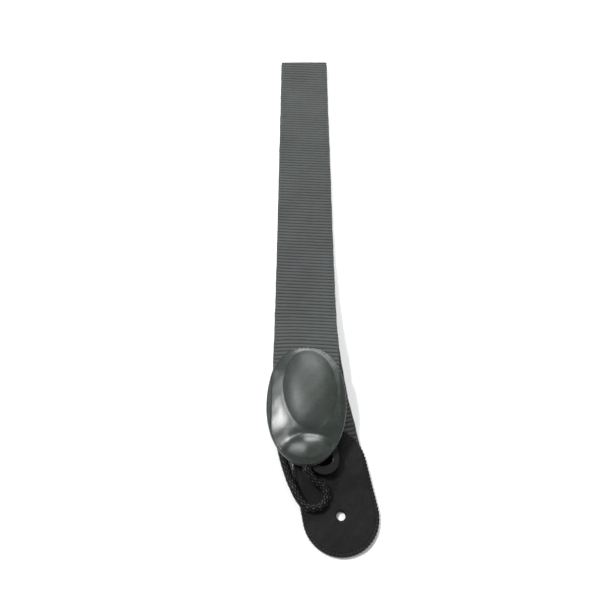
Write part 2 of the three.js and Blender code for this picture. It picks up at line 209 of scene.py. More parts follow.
def braid_height(phi, s, strands=4, pitch=3.1):
    a = strands * phi + math.pi * s / pitch
    b = strands * phi - math.pi * s / pitch
    cell = np.abs(np.sin(a) * np.sin(b)) ** 0.6
    over = 0.5 + 0.5 * np.tanh(3 * np.sin(a) * np.sin(b))
    return cell * (0.75 + 0.25 * over)


def braided(name, centre, r, material, seg=44, amp=0.42, taper=None):
    t, n, b = frames(centre)
    s = np.concatenate([[0], np.cumsum(np.linalg.norm(np.diff(centre, axis=0), axis=1))])
    phi = np.linspace(0, 2 * math.pi, seg, endpoint=False)
    S, F = np.meshgrid(s, phi, indexing="ij")
    H = np.clip(braid_height(F, S), 0, 1)
    R = r - amp + amp * H
    if taper is not None:
        R = R * taper(S)
    V = centre[:, None, :] + R[..., None] * (np.cos(F)[..., None] * n[:, None, :] + np.sin(F)[..., None] * b[:, None, :])
    faces = [tuple(reversed(q)) for q in ring_faces(len(s), seg)]
    verts = V.reshape(-1, 3)
    k = len(verts)
    verts = np.vstack([verts, centre[0], centre[-1]])
    for j in range(seg):
        faces.append((k, j, (j + 1) % seg))
        o = (len(s) - 1) * seg
        faces.append((k + 1, o + (j + 1) % seg, o + j))
    # the braid height goes to the cord material, which paints shade in the grooves between the strands from it
    st = np.stack([F * r, S, H], -1).reshape(-1, 3)
    st = np.vstack([st, [0, 0, 0], [0, s[-1], 0]])
    return make(name, verts, faces, material, {"st": st})


# ------------------------------------------------------------------ materials
def nodes_of(name):
    m = bpy.data.materials.new(name)
    m.use_nodes = True
    t = m.node_tree
    return m, t, t.nodes["Principled BSDF"]


def add(t, kind, **kw):
    n = t.nodes.new(kind)
    for k, v in kw.items():
        if k in n.inputs.keys():
            n.inputs[k].default_value = v
        else:
            setattr(n, k, v)
    return n


def mth(t, op, a, b=None, c=None):
    n = t.nodes.new("ShaderNodeMath")
    n.operation = op
    for i, v in enumerate((a, b, c)):
        if v is None:
            continue
        if isinstance(v, (int, float)):
            n.inputs[i].default_value = v
        else:
            t.links.new(v, n.inputs[i])
    return n.outputs[0]


def ramp_node(t, fac, stops):
    n = t.nodes.new("ShaderNodeValToRGB")
    while len(n.color_ramp.elements) < len(stops):
        n.color_ramp.elements.new(0.5)
    for e, (p, c) in zip(n.color_ramp.elements, stops):
        e.position = p
        e.color = (*c, 1)
    t.links.new(fac, n.inputs[0])
    return n.outputs[0]


def coord(t, attr=None, scale=1.0):
    if attr:
        n = t.nodes.new("ShaderNodeAttribute")
        n.attribute_name = attr
        return n.outputs["Vector"]
    n = t.nodes.new("ShaderNodeTexCoord")
    return n.outputs["Object"]


def noise(t, vec, scale, detail=4.0, rough=0.55):
    n = t.nodes.new("ShaderNodeTexNoise")
    n.inputs["Scale"].default_value = scale
    n.inputs["Detail"].default_value = detail
    n.inputs["Roughness"].default_value = rough
    t.links.new(vec, n.inputs["Vector"])
    return n.outputs["Fac"]


def bump(t, p, height, strength, distance, prev=None):
    n = t.nodes.new("ShaderNodeBump")
    n.inputs["Strength"].default_value = strength
    n.inputs["Distance"].default_value = distance
    t.links.new(height, n.inputs["Height"])
    if prev is not None:
        t.links.new(prev, n.inputs["Normal"])
    return n.outputs["Normal"]


def webbing_material():
    m, t, p = nodes_of("webbing_nylon")
    st = coord(t, "st")
    sep = t.nodes.new("ShaderNodeSeparateXYZ")
    t.links.new(st, sep.inputs[0])
    # the third value is the rib height, which is used below to paint shade into the grooves
    x, v, rib = sep.outputs
    obj = coord(t)
    big = noise(t, obj, 45.0, 3.0)
    fine = noise(t, obj, 2600.0, 2.0)
    # warp yarns run along the band, about 0.62 mm apart, wandering a little
    wander = mth(t, "MULTIPLY", noise(t, obj, 220.0, 2.0), 0.5)
    phase = mth(t, "MULTIPLY", mth(t, "ADD", x, wander), 2 * math.pi / 0.62)
    yarn = mth(t, "MULTIPLY_ADD", mth(t, "SINE", phase), 0.5, 0.5)
    # twist of the yarns: short slanting marks
    tw = mth(t, "SINE", mth(t, "ADD", mth(t, "MULTIPLY", v, 9.5), mth(t, "MULTIPLY", x, 10.13)))
    tw = mth(t, "MULTIPLY_ADD", tw, 0.5, 0.5)
    height = mth(t, "ADD", mth(t, "MULTIPLY", yarn, 0.6), mth(t, "MULTIPLY", tw, 0.22))
    height = mth(t, "ADD", height, mth(t, "MULTIPLY", fine, 0.3))
    # painted shade: the colour is darkest in the grooves between the ribs, a little darker between the warp yarns, and
    # lightest on the rib and yarn tops; the broad noise is the band's own uneven tone
    tone = mth(t, "ADD", mth(t, "MULTIPLY", rib, 0.62), mth(t, "MULTIPLY", yarn, 0.16))
    tone = mth(t, "ADD", tone, mth(t, "MULTIPLY", big, 0.24))
    col = ramp_node(t, tone, [(0.2, (0.0009, 0.001, 0.001)), (0.48, (0.007, 0.0078, 0.0076)), (0.72, (0.036, 0.0395, 0.0385)), (1.0, (0.068, 0.0745, 0.072))])
    t.links.new(col, p.inputs["Base Color"])
    rough = mth(t, "MULTIPLY_ADD", fine, 0.22, 0.5)
    t.links.new(rough, p.inputs["Roughness"])
    p.inputs["Specular IOR Level"].default_value = 0.32
    p.inputs["Sheen Weight"].default_value = 0.06
    p.inputs["Sheen Roughness"].default_value = 0.45
    t.links.new(bump(t, p, height, 0.75, 0.00025), p.inputs["Normal"])
    return m


def leather_material(name, base, rough, spec, grain, wave=0.25, dull=()):
    m, t, p = nodes_of(name)
    obj = coord(t)
    vor = t.nodes.new("ShaderNodeTexVoronoi")
    vor.feature = "DISTANCE_TO_EDGE"
    vor.inputs["Scale"].default_value = 1150.0
    warp = t.nodes.new("ShaderNodeVectorMath")
    warp.operation = "ADD"
    nz = t.nodes.new("ShaderNodeTexNoise")
    nz.inputs["Scale"].default_value = 500.0
    t.links.new(obj, nz.inputs["Vector"])
    sc = t.nodes.new("ShaderNodeVectorMath")
    sc.operation = "SCALE"
    sc.inputs["Scale"].default_value = 0.0006
    t.links.new(nz.outputs["Color"], sc.inputs[0])
    t.links.new(obj, warp.inputs[0])
    t.links.new(sc.outputs[0], warp.inputs[1])
    t.links.new(warp.outputs[0], vor.inputs["Vector"])
    cell = ramp_node(t, vor.outputs["Distance"], [(0.0, (0, 0, 0)), (0.12, (0.75, 0.75, 0.75)), (0.4, (1, 1, 1))])
    mid = noise(t, obj, 160.0, 4.0)
    big = noise(t, obj, 32.0, 3.0)
    fine = noise(t, obj, 4200.0, 2.0)
    tone = mth(t, "ADD", mth(t, "MULTIPLY", big, 0.3), mth(t, "MULTIPLY", noise(t, obj, 620.0, 3.0, 0.6), 0.4))
    tone = mth(t, "ADD", tone, mth(t, "MULTIPLY", mid, 0.2))
    tone = mth(t, "ADD", tone, mth(t, "MULTIPLY", cell, 0.1))
    b = np.array(base)
    col = ramp_node(t, tone, [(0.3, tuple(b * 0.4)), (0.5, tuple(b)), (0.72, tuple(b * 2.1))])
    t.links.new(col, p.inputs["Base Color"])
    r = mth(t, "MULTIPLY_ADD", mth(t, "ADD", mth(t, "MULTIPLY", mid, 0.6), mth(t, "MULTIPLY", cell, -0.25)), rough[1] - rough[0], rough[0] + 0.08)
    # the stretched leather over the dome and the toe is less polished than the flanks
    for (cx, cy), (ax, ay), more in dull:
        off = t.nodes.new("ShaderNodeVectorMath")
        off.operation = "SUBTRACT"
        off.inputs[1].default_value = (cx, cy, 0)
        t.links.new(obj, off.inputs[0])
        part = t.nodes.new("ShaderNodeVectorMath")
        part.operation = "MULTIPLY"
        part.inputs[1].default_value = (1 / ax, 1 / ay, 0)
        t.links.new(off.outputs[0], part.inputs[0])
        far = t.nodes.new("ShaderNodeVectorMath")
        far.operation = "LENGTH"
        t.links.new(part.outputs[0], far.inputs[0])
        mr = t.nodes.new("ShaderNodeMapRange")
        mr.interpolation_type = "SMOOTHSTEP"
        for i, v in ((1, 0.86), (2, 1.08), (3, more), (4, 0.0)):
            mr.inputs[i].default_value = v
        t.links.new(far.outputs["Value"], mr.inputs[0])
        r = mth(t, "ADD", r, mr.outputs[0])
    t.links.new(r, p.inputs["Roughness"])
    p.inputs["Specular IOR Level"].default_value = spec
    h = mth(t, "ADD", mth(t, "MULTIPLY", cell, 0.7), mth(t, "MULTIPLY", fine, 0.25))
    n1 = bump(t, p, mid, wave, 0.0007)
    t.links.new(bump(t, p, h, grain, 0.00016, n1), p.inputs["Normal"])
    return m


def suede_material():
    m, t, p = nodes_of("leather_flesh_side")
    obj = coord(t)
    fine = noise(t, obj, 2400.0, 5.0, 0.7)
    big = noise(t, obj, 60.0, 3.0)
    tone = mth(t, "ADD", mth(t, "MULTIPLY", fine, 0.6), mth(t, "MULTIPLY", big, 0.4))
    t.links.new(ramp_node(t, tone, [(0.3, (0.012, 0.012, 0.012)), (0.7, (0.045, 0.044, 0.042))]), p.inputs["Base Color"])
    p.inputs["Roughness"].default_value = 0.85
    p.inputs["Sheen Weight"].default_value = 0.3
    t.links.new(bump(t, p, fine, 0.6, 0.00025), p.inputs["Normal"])
    return m


def cord_material():
    m, t, p = nodes_of("braided_cord")
    st = coord(t, "st")
    sep = t.nodes.new("ShaderNodeSeparateXYZ")
    t.links.new(st, sep.inputs[0])
    obj = coord(t)
    fib = mth(t, "SINE", mth(t, "ADD", mth(t, "MULTIPLY", sep.outputs[1], 26.0), mth(t, "MULTIPLY", sep.outputs[0], 12.0)))
    fib = mth(t, "MULTIPLY_ADD", fib, 0.5, 0.5)
    nz = noise(t, obj, 1500.0, 3.0)
    tone = mth(t, "ADD", mth(t, "MULTIPLY", fib, 0.25), mth(t, "MULTIPLY", nz, 0.25))
    # painted shade: the braid height from the mesh darkens the grooves between the strands and lightens their crowns
    tone = mth(t, "ADD", tone, mth(t, "MULTIPLY", sep.outputs[2], 0.5))
    t.links.new(ramp_node(t, tone, [(0.3, (0.001, 0.001, 0.001)), (0.6, (0.008, 0.0082, 0.0082)), (0.82, (0.027, 0.0275, 0.027))]), p.inputs["Base Color"])
    t.links.new(mth(t, "MULTIPLY_ADD", nz, 0.2, 0.3), p.inputs["Roughness"])
    t.links.new(ramp_node(t, sep.outputs[2], [(0.35, (0.02, 0.02, 0.02)), (0.9, (0.45, 0.45, 0.45))]), p.inputs["Specular IOR Level"])
    t.links.new(bump(t, p, tone, 0.6, 0.00012), p.inputs["Normal"])
    return m


def plastic_material(name, base, rough):
    m, t, p = nodes_of(name)
    obj = coord(t)
    big = noise(t, obj, 90.0, 4.0)
    fine = noise(t, obj, 1800.0, 3.0)
    b = np.array(base)
    t.links.new(ramp_node(t, big, [(0.3, tuple(b * 0.8)), (0.7, tuple(b * 1.3))]), p.inputs["Base Color"])
    t.links.new(mth(t, "MULTIPLY_ADD", big, 0.16, rough - 0.06), p.inputs["Roughness"])
    p.inputs["Specular IOR Level"].default_value = 0.32
    t.links.new(bump(t, p, fine, 0.12, 0.00008), p.inputs["Normal"])
    return m


def metal_material():
    m, t, p = nodes_of("bright_steel")
    obj = coord(t)
    nz = noise(t, obj, 900.0, 4.0)
    t.links.new(ramp_node(t, nz, [(0.3, (0.42, 0.42, 0.43)), (0.7, (0.6, 0.6, 0.6))]), p.inputs["Base Color"])
    p.inputs["Metallic"].default_value = 1.0
    t.links.new(mth(t, "MULTIPLY_ADD", nz, 0.2, 0.2), p.inputs["Roughness"])
    return m


def thread_material():
    m, t, p = nodes_of("waxed_thread")
    obj = coord(t)
    nz = noise(t, obj, 3000.0, 3.0)
    t.links.new(ramp_node(t, nz, [(0.3, (0.004, 0.004, 0.004)), (0.7, (0.016, 0.016, 0.016))]), p.inputs["Base Color"])
    p.inputs["Roughness"].default_value = 0.55
    p.inputs["Specular IOR Level"].default_value = 0.3
    t.links.new(bump(t, p, nz, 0.5, 0.0001), p.inputs["Normal"])
    return m


WEB = webbing_material()
SMOOTH = leather_material(
    "leather_smooth_side", (0.0112, 0.016, 0.0122), (0.2, 0.27), 0.55, 0.18, wave=0.07,
    dull=(
        (((5.6 - OX) * MM, (136.2 - OY) * MM), (0.0152, 0.0246), 0.2),
        (((5.2 - OX) * MM, (99.2 - OY) * MM), (0.0136, 0.0066), 0.16),
    ),
)
LEATHER = leather_material("leather_grain_side", (0.0058, 0.006, 0.0054), (0.46, 0.64), 0.14, 1.0)
FLESH = suede_material()
CORD = cord_material()
PLASTIC = plastic_material("moulded_black_plastic", (0.006, 0.006, 0.0065), 0.24)
STEEL = metal_material()
THREAD = thread_material()

# ------------------------------------------------------------------ cord
ADJ_X = 5.8
EXIT_Z = float(front_under(FRONT_X, 94.2)) + LINING
ROUTE = [
    (3.4, 93.1, EXIT_Z), (4.5, 90.9, EXIT_Z - 0.8), (6.5, 88.4, 9.6), (9.1, 86.7, 7.9), (11.5, 85.3, 6.7), (13.3, 82.8, 5.9), (13.7, 80.2, 5.2),
    (12.7, 77.5, 4.8), (10.3, 75.2, 4.8), (7.5, 74.4, 4.8), (4.7, 74.6, 4.8), (2.3, 75.8, 4.9), (0.3, 78.1, 5.1), (-1.7, 81.2, 5.5),
    (-3.5, 84.9, 5.7), (-5.3, 89.1, 4.6), (-6.7, 93.5, 3.3), (-8.2, 98.1, 2.6), (-10.4, 106.5, 2.4), (-12.3, 115.0, 2.4), (-13.5, 123.5, 2.4),
    (-14.1, 132.0, 2.5), (-14.0, 142.0, 2.9), (-13.4, 153.0, 3.9), (-12.6, 164.5, 4.2), (-12.0, 174.5, 4.2), (-9.8, 182.4, 4.1),
    (-4.9, 187.9, 4.1), (1.5, 190.0, 4.1), (7.9, 187.9, 4.2), (13.0, 182.4, 4.5), (15.0, 174.8, 5.3), (15.0, 168.4, 5.85),
    (15.0, 162.0, 5.9), (15.0, 154.0, 5.9), (15.0, 146.0, 5.9), (15.0, 141.0, 6.2),
] + [
    (ADJ_X + 9.2 * math.cos(math.radians(a)), 138 + 9.2 * math.sin(math.radians(a)), z)
    for a, z in ((-6, 6.9), (-28, 7.8), (-52, 8.5), (-77.5, 8.8), (-103, 8.6), (-128, 8.0), (-152, 7.3), (-174, 6.7))
] + [(-3.4, 141.0, 6.2), (-3.4, 146.0, 5.9), (-3.4, 154.0, 5.9), (-3.4, 162.0, 5.9), (-3.4, 169.2, 5.9)]
# the first few millimetres run on into the tab, flattened between its leathers
centre, cord_len = catmull([(3.4, 98.6, EXIT_Z + 0.8), (3.4, 95.9, EXIT_Z + 0.5)] + ROUTE, 0.34)
steps = np.concatenate([[0], np.cumsum(np.linalg.norm(np.diff(centre, axis=0), axis=1))])
at_eye = steps[np.argmin(np.linalg.norm(centre - np.array([7.7, 129.0, 8.8]), axis=1))]
# the braid packs down a little where it runs through the hook's eye
cord = braided("neck_cord", centre, 2.38, CORD, taper=lambda q: (1 - 0.15 * np.exp(-(((q - at_eye) / 4.5) ** 2))) * (0.42 + 0.58 * smooth(0.5, 5.2, q)))
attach(cord, "front_half")
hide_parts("cord")


def knot_curve():
    """A tight overhand knot: the strand comes in, loops round itself and leaves."""
    t = np.linspace(-0.10, 2 * math.pi - 0.35, 60)
    x = np.sin(t) + 2 * np.sin(2 * t)
    y = np.cos(t) - 2 * np.cos(2 * t)
    z = -np.sin(3 * t)
    return np.stack([x, y, z], 1)


k = knot_curve()
k = k * np.array([1.28, 1.28, 1.75])
kc = np.array([-3.4, 174.6, 6.1])
k = k + kc
kpts, _ = catmull([tuple(p) for p in k[::3]], 0.4)
knot = braided("cord_stopper_knot", kpts, 1.95, CORD, seg=30, amp=0.25)
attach(knot, "front_half")
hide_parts("cord_end_knot")
tail = np.stack([np.full(16, -3.4), np.linspace(177.5, 183.0, 16), np.linspace(5.9, 5.4, 16)], 1)
tip = braided("cord_sealed_tip", tail, 2.1, CORD, seg=30, amp=0.22, taper=lambda s: 1 - 0.35 * smooth(4.2, 5.7, s))
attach(tip, "front_half")
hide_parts("cord_tip")
tuple(to_row([centre[0]])[0])
[tuple(p) for p in to_row(centre[::4])] + [tuple(to_row([centre[-1]])[0])]

# ------------------------------------------------------------------ band
PITCH = 2.62
RIB = 0.34
RIB_SLANT = -0.058


def rib(v):
    f = np.mod(v / PITCH, 1.0) * 2 - 1
    return np.clip(1 - np.abs(f) ** 3.2, 0, 1) ** 0.8


def section(nx=30):
    half, base = WEB_W / 2 - 0.62, WEB_T / 2 - RIB + 0.06
    xs, zs = [], []
    for i in range(nx + 1):
        xs.append(-half + 2 * half * i / nx)
        zs.append(base)
    for a in (60, 30, 0, -30, -60):
        xs.append(half + base * 1.1 * math.cos(math.radians(a)))
        zs.append(base * math.sin(math.radians(a)))
    for i in range(nx + 1):
        xs.append(half - 2 * half * i / nx)
        zs.append(-base)
    for a in (-120, -150, 180, 150, 120):
        xs.append(-half + base * 1.1 * math.cos(math.radians(a)))
        zs.append(base * math.sin(math.radians(a)))
    return np.array(xs), np.array(zs)


def band(name, v, place, caps=(True, True)):
    """v: stations along the band; place(x, v) gives centre and normal in mm."""
    xs, zs = section()
    V, X = np.meshgrid(v, xs, indexing="ij")
    Z = np.broadcast_to(zs, V.shape)
    c, n, w = place(X, V)
    r = rib(V + X * RIB_SLANT)
    edge = np.clip((np.abs(X) - (WEB_W / 2 - 1.6)) / 1.6, 0, 1)
    flat = np.abs(Z) / np.abs(zs).max()
    wob = 0.05 * np.sin(V * 0.9 + X * 0.7) * np.sin(V * 0.37)
    side = np.sign(X) * (0.34 * (r - 0.5) * edge + 0.09 * np.sin(V * 0.21 + 1.3) * edge + 0.06 * np.sin(V * 0.55) * edge)
    off = Z + np.sign(Z) * (RIB * (r - 0.15) * flat * (1 - 0.35 * edge)) + wob
    P = c + n * off[..., None] + w * side[..., None]
    cols = len(xs)
    faces = ring_faces(len(v), cols)
    verts = P.reshape(-1, 3)
    base = len(verts)
    extra = []
    if caps[0]:
        extra.append(P[0].mean(0))
        faces += [(base, (j + 1) % cols, j) for j in range(cols)]
    if caps[1]:
        o = (len(v) - 1) * cols
        kk = base + len(extra)
        extra.append(P[-1].mean(0))
        faces += [(kk, o + j, o + (j + 1) % cols) for j in range(cols)]
    if extra:
        verts = np.vstack([verts, extra])
    # the rib height goes to the webbing material, which paints shade in the grooves between the ribs from it
    st = np.stack([X, V, r], -1).reshape(-1, 3)
    if extra:
        st = np.vstack([st, np.zeros((len(extra), 3))])
    return make(name, verts, faces, WEB, {"st": st})


STEP = PITCH / 7


def stations(a, b):
    n = max(2, int(round(abs(b - a) / STEP)))
    return np.linspace(a, b, n + 1)


def lower(X, V):
    e = 0.5
    cx = back_x(V)
    tx = (back_x(V + e) - back_x(V - e)) / (2 * e)
    L = np.sqrt(1 + tx**2)
    w = np.stack([1 / L, -tx / L, 0 * V], -1)
    z = back_rise(V) + WEB_T / 2
    dz = (back_rise(V + e) - back_rise(V - e)) / (2 * e)
    n = np.stack([0 * V, -dz, np.ones_like(V)], -1)
    n /= np.linalg.norm(n, axis=-1)[..., None]
    c = np.stack([cx, V, z], -1) + w * X[..., None]
    return c, n, w


LOOP_R = FOLD_R - WEB_T / 2
LOOP_LEN = math.pi * LOOP_R
LAP = 1.2  # of each straight run that the turn takes with it


def upper(X, V):
    y = FOLD_Y - (V - FOLD_Y - LOOP_LEN)
    e = 0.5

    def z(x, yy):
        return front_under(x, yy) + (LINING + SKIN) * tuck(yy) + WEB_T / 2

    x = FRONT_X + X
    zz = z(x, y)
    dy = (z(x, y + e) - z(x, y - e)) / (2 * e)
    dx = (z(x + e, y) - z(x - e, y)) / (2 * e)
    n = np.stack([dx, dy, -np.ones_like(V)], -1)
    n /= np.linalg.norm(n, axis=-1)[..., None]
    c = np.stack([x, y, zz], -1)
    w = np.stack([np.ones_like(V), 0 * V, 0 * V], -1)
    return c, n, w


def turn(X, V):
    a = -math.pi / 2 + (V - FOLD_Y) / LOOP_R
    n_out = np.stack([0 * V, np.cos(a), np.sin(a)], -1)
    c = np.stack([FRONT_X + X, FOLD_Y + LOOP_R * np.cos(a), FOLD_Z + LOOP_R * np.sin(a)], -1)
    w = np.stack([np.ones_like(V), 0 * V, 0 * V], -1)
    return c, -n_out, w


def loop(X, V):
    parts = [lower(X, V), turn(X, V), upper(X, V)]
    pick = (V > FOLD_Y).astype(int) + (V > FOLD_Y + LOOP_LEN).astype(int)
    return tuple(np.select([(pick == i)[..., None] for i in range(3)], [p[k] for p in parts]) for k in range(3))


band_back = band("band_lower", stations(86.6, FOLD_Y - LAP), lower)
band_loop = band("band_fold", stations(FOLD_Y - LAP, FOLD_Y + LOOP_LEN + LAP), loop)
V_END = FOLD_Y + LOOP_LEN + (FOLD_Y - 116.1)
band_front = band("band_upper", stations(FOLD_Y + LOOP_LEN + LAP, V_END), upper)
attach(band_back, "back_half")
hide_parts("back_webbing")
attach(band_front, "front_half")
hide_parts("front_webbing")
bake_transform(band_loop)
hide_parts("fold_webbing")


# ------------------------------------------------------------------ leather
def leather_piece(name, centre_xy, outline, top, bottom, material, hole=0.0, rings=64, seg=176, round_edge=0.45):
    """A leather disc between two height functions with a softly rounded cut edge. outline(angle) is its radius."""
    th = np.linspace(0, 2 * math.pi, seg, endpoint=False)
    R = outline(th)
    t = np.linspace(0, 1, rings)
    rho = 1 - (1 - t) ** 1.35
    # extra rings close to the rim for its rounding
    rim = np.array([0.06, 0.16, 0.3, 0.46])
    rows_x, rows_y, dist = [], [], []
    for q in rho[:-1]:
        rr = hole + (R - 0.6 - hole) * q if hole else (R - 0.6) * q
        rows_x.append(centre_xy[0] + rr * np.cos(th))
        rows_y.append(centre_xy[1] + rr * np.sin(th))
        dist.append(R - rr)
    for d in rim[::-1]:
        rr = R - d
        rows_x.append(centre_xy[0] + rr * np.cos(th))
        rows_y.append(centre_xy[1] + rr * np.sin(th))
        dist.append(R - rr)
    rows_x, rows_y, dist = map(np.array, (rows_x, rows_y, dist))
    d = np.clip(dist, 0, round_edge)
    drop = round_edge - np.sqrt(np.clip(round_edge**2 - (round_edge - d) ** 2, 0, None))
    hd = 0
    if hole:
        rr = np.hypot(rows_x - centre_xy[0], rows_y - centre_xy[1]) - hole
        q = np.clip(rr, 0, 0.4)
        hd = 0.4 - np.sqrt(np.clip(0.16 - (0.4 - q) ** 2, 0, None))
    zt = top(rows_x, rows_y, dist) - drop - hd
    zb = bottom(rows_x, rows_y, dist) + drop * 0.7 + hd * 0.7
    n = rows_x.shape[0]
    verts = [np.stack([rows_x, rows_y, zt], -1).reshape(-1, 3)]
    # outer wall
    ex = centre_xy[0] + R * np.cos(th)
    ey = centre_xy[1] + R * np.sin(th)
    et = top(ex, ey, 0 * R) - round_edge
    eb = bottom(ex, ey, 0 * R) + round_edge * 0.7
    verts += [np.stack([ex, ey, et], -1), np.stack([ex, ey, eb], -1)]
    verts += [np.stack([rows_x[::-1], rows_y[::-1], zb[::-1]], -1).reshape(-1, 3)]
    rows = 2 * n + 2
    if not hole:
        verts = np.vstack(verts)
        # the centre ring has zero radius: make it a pole
        faces = ring_faces(rows, seg)
        o = make(name, verts, [tuple(reversed(f)) for f in faces], material)
        bm = bmesh.new()
        bm.from_mesh(o.data)
        bmesh.ops.remove_doubles(bm, verts=bm.verts, dist=1e-7)
        bmesh.ops.recalc_face_normals(bm, faces=bm.faces)
        bm.to_mesh(o.data)
        bm.free()
    else:
        verts = np.vstack(verts)
        faces = ring_faces(rows, seg)
        for j in range(seg):
            k2 = (j + 1) % seg
            last = (rows - 1) * seg
            faces.append((last + j, last + k2, k2, j))
        o = make(name, verts, faces, material)
        bm = bmesh.new()
        bm.from_mesh(o.data)
        bmesh.ops.recalc_face_normals(bm, faces=bm.faces)
        bm.to_mesh(o.data)
        bm.free()
    o.data.polygons.foreach_set("use_smooth", [True] * len(o.data.polygons))
    return o


def radius_of(points, c):
    """Radius as a function of angle of a convex outline about c."""
    P = np.array(points)
    ang = np.arctan2(P[:, 1] - c[1], P[:, 0] - c[0])
    rad = np.hypot(P[:, 0] - c[0], P[:, 1] - c[1])
    order = np.argsort(ang)
    ang, rad = ang[order], rad[order]
    ang = np.concatenate([ang - 2 * math.pi, ang, ang + 2 * math.pi])
    rad = np.tile(rad, 3)

    def f(th):
        th = (np.asarray(th) + math.pi) % (2 * math.pi) - math.pi
        return np.interp(th, ang, rad)

    return f


LEAN = math.atan(SLOPE)


def back_outline(grow=0.0, dense=1):
    pts = []
    c, n = math.cos(LEAN), math.sin(LEAN)

    def at(s, t):
        return (HOLE[0] + s * c - t * n, HOLE[1] + s * n + t * c)

    r = 20 + grow
    straight = 68 - 20 - 22
    for a in np.linspace(math.pi, 2 * math.pi, 90):
        pts.append(at(r * math.cos(a), r * math.sin(a)))
    for t in np.linspace(0, straight, 40)[1:]:
        pts.append(at(r, t))
    for a in np.linspace(0, math.pi, 90)[1:]:
        pts.append(at(r * math.cos(a), straight + (22 + grow) * math.sin(a)))
    for t in np.linspace(straight, 0, 40)[1:-1]:
        pts.append(at(-r, t))
    return pts


def front_outline(grow=0.0, n=320):
    pts = []
    for a in np.linspace(-math.pi / 2, 1.5 * math.pi, n, endpoint=False):
        up = math.sin(a) > 0
        e = 2 / 2.3 if up else 1
        cc, ss = math.cos(a), math.sin(a)
        pts.append((
            FRONT_X + (22.2 + grow) * math.copysign(abs(cc) ** e, cc),
            128 + ((34.4 if up else 33.8) + grow) * math.copysign(abs(ss) ** e, ss),
        ))
    return pts


STITCH, STITCH_F = 1.6, 0.75


def groove(d, depth=0.16, width=0.5):
    return depth * np.exp(-(((d - STITCH) / width) ** 2))


def waves(x, y, a=0.12):
    return a * (np.sin(x * 0.31 + y * 0.11 + 0.6) * np.sin(y * 0.19 - 0.4) + 0.5 * np.sin(x * 0.73 - y * 0.23) * np.sin(y * 0.41 + 1.1))


# lower tab: the face lies on the band, whose edge shows as a soft step
def back_local(x, y):
    c, n = math.cos(LEAN), math.sin(LEAN)
    dx, dy = x - HOLE[0], y - HOLE[1]
    return dx * c + dy * n, -dx * n + dy * c


def back_top(x, y, d):
    s, t = back_local(x, y)
    over = smooth(9.5, 20.5, t) * (1 - smooth(17.0, 19.6, np.abs(s)))
    z = LINING + SKIN + FACE + (WEB_T + SKIN) * over
    dish = -0.18 * np.exp(-((np.hypot(x - HOLE[0], y - HOLE[1]) - 2.4) / 1.6) ** 2)
    return z - groove(d) + waves(x, y, 0.14) + dish


def back_face_bottom(x, y, d):
    return back_top(x, y, d) - FACE + groove(d) * 0.6


tabc = HOLE
b_out = radius_of(back_outline(), tabc)
back_face = leather_piece("lower_tab_face", tabc, b_out, back_top, back_face_bottom, LEATHER, hole=2.35, rings=76, seg=220)
back_lining = leather_piece("lower_tab_lining", tabc, b_out, lambda x, y, d: LINING - 0.02 + 0 * x, lambda x, y, d: 0.02 + 0 * x, FLESH, hole=2.35, rings=40, seg=160, round_edge=0.3)
for o, nd in ((back_face, "back_tab_face"), (back_lining, "back_tab_lining")):
    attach(o, "back_half")
    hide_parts(nd)


def cord_bulge(x, y):
    return np.exp(-(((x - FRONT_X) / 3.4) ** 2)) * (1 - smooth(97, 112, y))


def front_stack_top(x, y):
    s = x - FRONT_X
    over = smooth(97, 117.5, y) * (1 - smooth(18.8, 22.4, np.abs(s)))
    thin = LINING + 2 * SKIN + SEWN * (1 - smooth(9, 15, np.abs(s)))
    thick = LINING + 2 * SKIN + WEB_T
    return front_under(x, y) + thin + (thick - thin) * over


def mound(x, y, cx, cy, ax, ay, tilt, power, soft):
    """0 outside an ellipse, 1 at its middle, with a soft crease at its foot."""
    c, n = math.cos(tilt), math.sin(tilt)
    u = ((x - cx) * c + (y - cy) * n) / ax
    v = (-(x - cx) * n + (y - cy) * c) / ay
    q = np.sqrt(u * u + v * v)
    r = 1 - q**power
    return soft * np.logaddexp(0, r / soft)


DOME_H, TOE_H = 3.3, 3.1


def front_top(x, y, d):
    dome = DOME_H * mound(x, y, 5.6, 136.2, 14.9, 24.2, 0.06, 3.0, 0.035)
    toe = TOE_H * mound(x, y, 4.9, 101.8, 14.0, 8.4, 0.0, 2.0, 0.1)
    saddle = -0.2 * np.exp(-(((x - 6.0) / 9) ** 2) - (((y - 110.6) / 3.4) ** 2))
    rim = smooth(0.0, 3.0, d)
    z = front_stack_top(x, y) + FACE
    return z + (dome + toe + saddle) * rim + waves(x, y, 0.07) + 0.5 * cord_bulge(x, y)


def front_face_bottom(x, y, d):
    return front_stack_top(x, y) + 0.02


def front_lining_top(x, y, d):
    return front_under(x, y) + LINING - 0.3 * cord_bulge(x, y)


def front_lining_bottom(x, y, d):
    return front_under(x, y) - 0.3 * cord_bulge(x, y)


fc = (FRONT_X, 128.0)
f_out = radius_of(front_outline(), fc)
front_face = leather_piece("upper_tab_face", fc, f_out, front_top, front_face_bottom, SMOOTH, rings=96, seg=220)
front_lining = leather_piece("upper_tab_lining", fc, f_out, front_lining_top, front_lining_bottom, FLESH, rings=48, seg=160, round_edge=0.3)
for o, nd in ((front_face, "front_tab_face"), (front_lining, "front_tab_lining")):
    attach(o, "front_half")
    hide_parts(nd)


